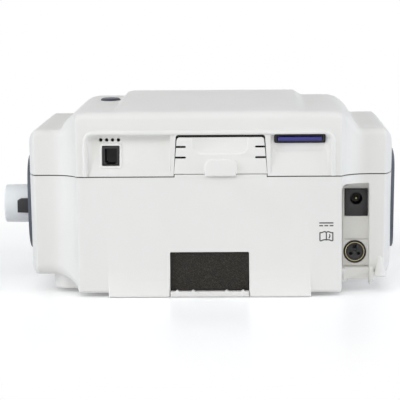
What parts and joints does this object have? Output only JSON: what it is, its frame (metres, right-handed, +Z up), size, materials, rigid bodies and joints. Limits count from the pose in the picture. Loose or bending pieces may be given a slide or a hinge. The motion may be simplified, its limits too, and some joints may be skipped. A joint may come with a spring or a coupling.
{
  "type": "bilevel positive airway pressure machine",
  "caption": "Bedside bilevel breathing machine: moulded two-shell housing, side air outlet, rear recess with cover, jack and card slot, inlet filter, display slope, inner blower.",
  "frame": {"origin": "on the table, under the middle of the machine's bounding box", "axes": "+Z up, -Y towards the rear with the recess and filter, +Y towards the display, -X towards the air outlet"},
  "size_m": [0.227, 0.183, 0.1086],
  "materials": {
    "shell_white": "satin moulded white",
    "panel_grey": "satin moulded blue-grey",
    "black_plastic": "moulded black",
    "card_blue": "moulded blue",
    "inner_plastic": "moulded light grey",
    "key_rubber": "moulded grey rubber",
    "foot_rubber": "matte black rubber",
    "silicone_grey": "soft silicone",
    "bright_metal": "plated steel",
    "pin_brass": "turned brass",
    "display_lens": "smoked clear lens",
    "display_grey": "display glass",
    "board_green": "coated circuit board",
    "filter_foam": "open-cell foam",
    "filter_white": "fibre filter"
  },
  "bodies": {
    "machine": {"upper_housing": "shell_white", "lower_housing": "shell_white", "left_side_panel": "panel_grey", "right_side_panel": "panel_grey", "outlet_port": "shell_white", "outlet_stop": "black_plastic", "accessory_bay": "black_plastic", "network_jack": "black_plastic", "speaker": "black_plastic", "card_reader": "black_plastic", "card_bracket": "inner_plastic", "connector_panel": "shell_white", "dc_inlet": "black_plastic", "dc_inlet_pin": "pin_brass", "serial_socket": "black_plastic", "serial_socket_ring": "bright_metal", "inlet_duct": "inner_plastic", "control_panel": "panel_grey", "display_lens": "display_lens", "display_module": "display_grey", "display_board": "board_green", "button_mat": "silicone_grey", "rubber_foot_1": "foot_rubber", "rubber_foot_2": "foot_rubber", "rubber_foot_3": "foot_rubber", "rubber_foot_4": "foot_rubber", "housing_screw_1": "bright_metal", "housing_screw_2": "bright_metal", "housing_screw_3": "bright_metal", "housing_screw_4": "bright_metal", "blower_base": "inner_plastic", "blower_cover": "inner_plastic", "blower_mount_1": "foot_rubber", "blower_mount_2": "foot_rubber", "blower_mount_3": "foot_rubber", "motor": "bright_metal", "outlet_coupling": "silicone_grey", "flow_sensor": "black_plastic", "main_board": "board_green"},
    "start_key": {"start_button": "key_rubber"},
    "alarm_key": {"alarm_button": "key_rubber"},
    "ramp_key": {"ramp_button": "key_rubber"},
    "left_key": {"left_button": "key_rubber"},
    "right_key": {"right_button": "key_rubber"},
    "rocker": {"rocker_button": "key_rubber"},
    "memory_card": {"data_card": "card_blue"},
    "bay_cover": {"accessory_cover": "shell_white"},
    "filter_tray": {"foam_filter": "filter_foam", "fine_filter": "filter_white", "filter_sill": "shell_white"},
    "rotor": {"impeller": "inner_plastic", "motor_shaft": "bright_metal"}
  },
  "joints": [
    {"name": "start_press", "type": "slide", "parent": "machine", "child": "start_key", "axis": [0, 0, -1], "range_m": [0, 0.001], "stiffness_N_per_m": 600, "springref_m": -0.0005},
    {"name": "alarm_press", "type": "slide", "parent": "machine", "child": "alarm_key", "axis": [0, -0.7854, -0.619], "range_m": [0, 0.001], "stiffness_N_per_m": 600, "springref_m": -0.0005},
    {"name": "ramp_press", "type": "slide", "parent": "machine", "child": "ramp_key", "axis": [0, -0.7854, -0.619], "range_m": [0, 0.001], "stiffness_N_per_m": 600, "springref_m": -0.0005},
    {"name": "left_press", "type": "slide", "parent": "machine", "child": "left_key", "axis": [0, -0.7854, -0.619], "range_m": [0, 0.001], "stiffness_N_per_m": 600, "springref_m": -0.0005},
    {"name": "right_press", "type": "slide", "parent": "machine", "child": "right_key", "axis": [0, -0.7854, -0.619], "range_m": [0, 0.001], "stiffness_N_per_m": 600, "springref_m": -0.0005},
    {"name": "rocker_tip", "type": "hinge", "parent": "machine", "child": "rocker", "pos_m": [0.00779, 0.0766, 0.06002], "axis": [1, 0, 0], "range_deg": [-2.8, 2.8], "stiffness_Nm_per_rad": 0.05},
    {"name": "card_slide", "type": "slide", "parent": "machine", "child": "memory_card", "axis": [0, -1, 0], "range_m": [0, 0.04]},
    {"name": "cover_pull", "type": "slide", "parent": "machine", "child": "bay_cover", "axis": [0, -1, 0], "range_m": [0, 0.025]},
    {"name": "filter_pull", "type": "slide", "parent": "machine", "child": "filter_tray", "axis": [0, -1, 0], "range_m": [0, 0.025]},
    {"name": "rotor_spin", "type": "hinge", "parent": "machine", "child": "rotor", "pos_m": [0.01979, 0.02402, 0.0388], "axis": [0, 0, 1], "continuous": true}
  ]
}
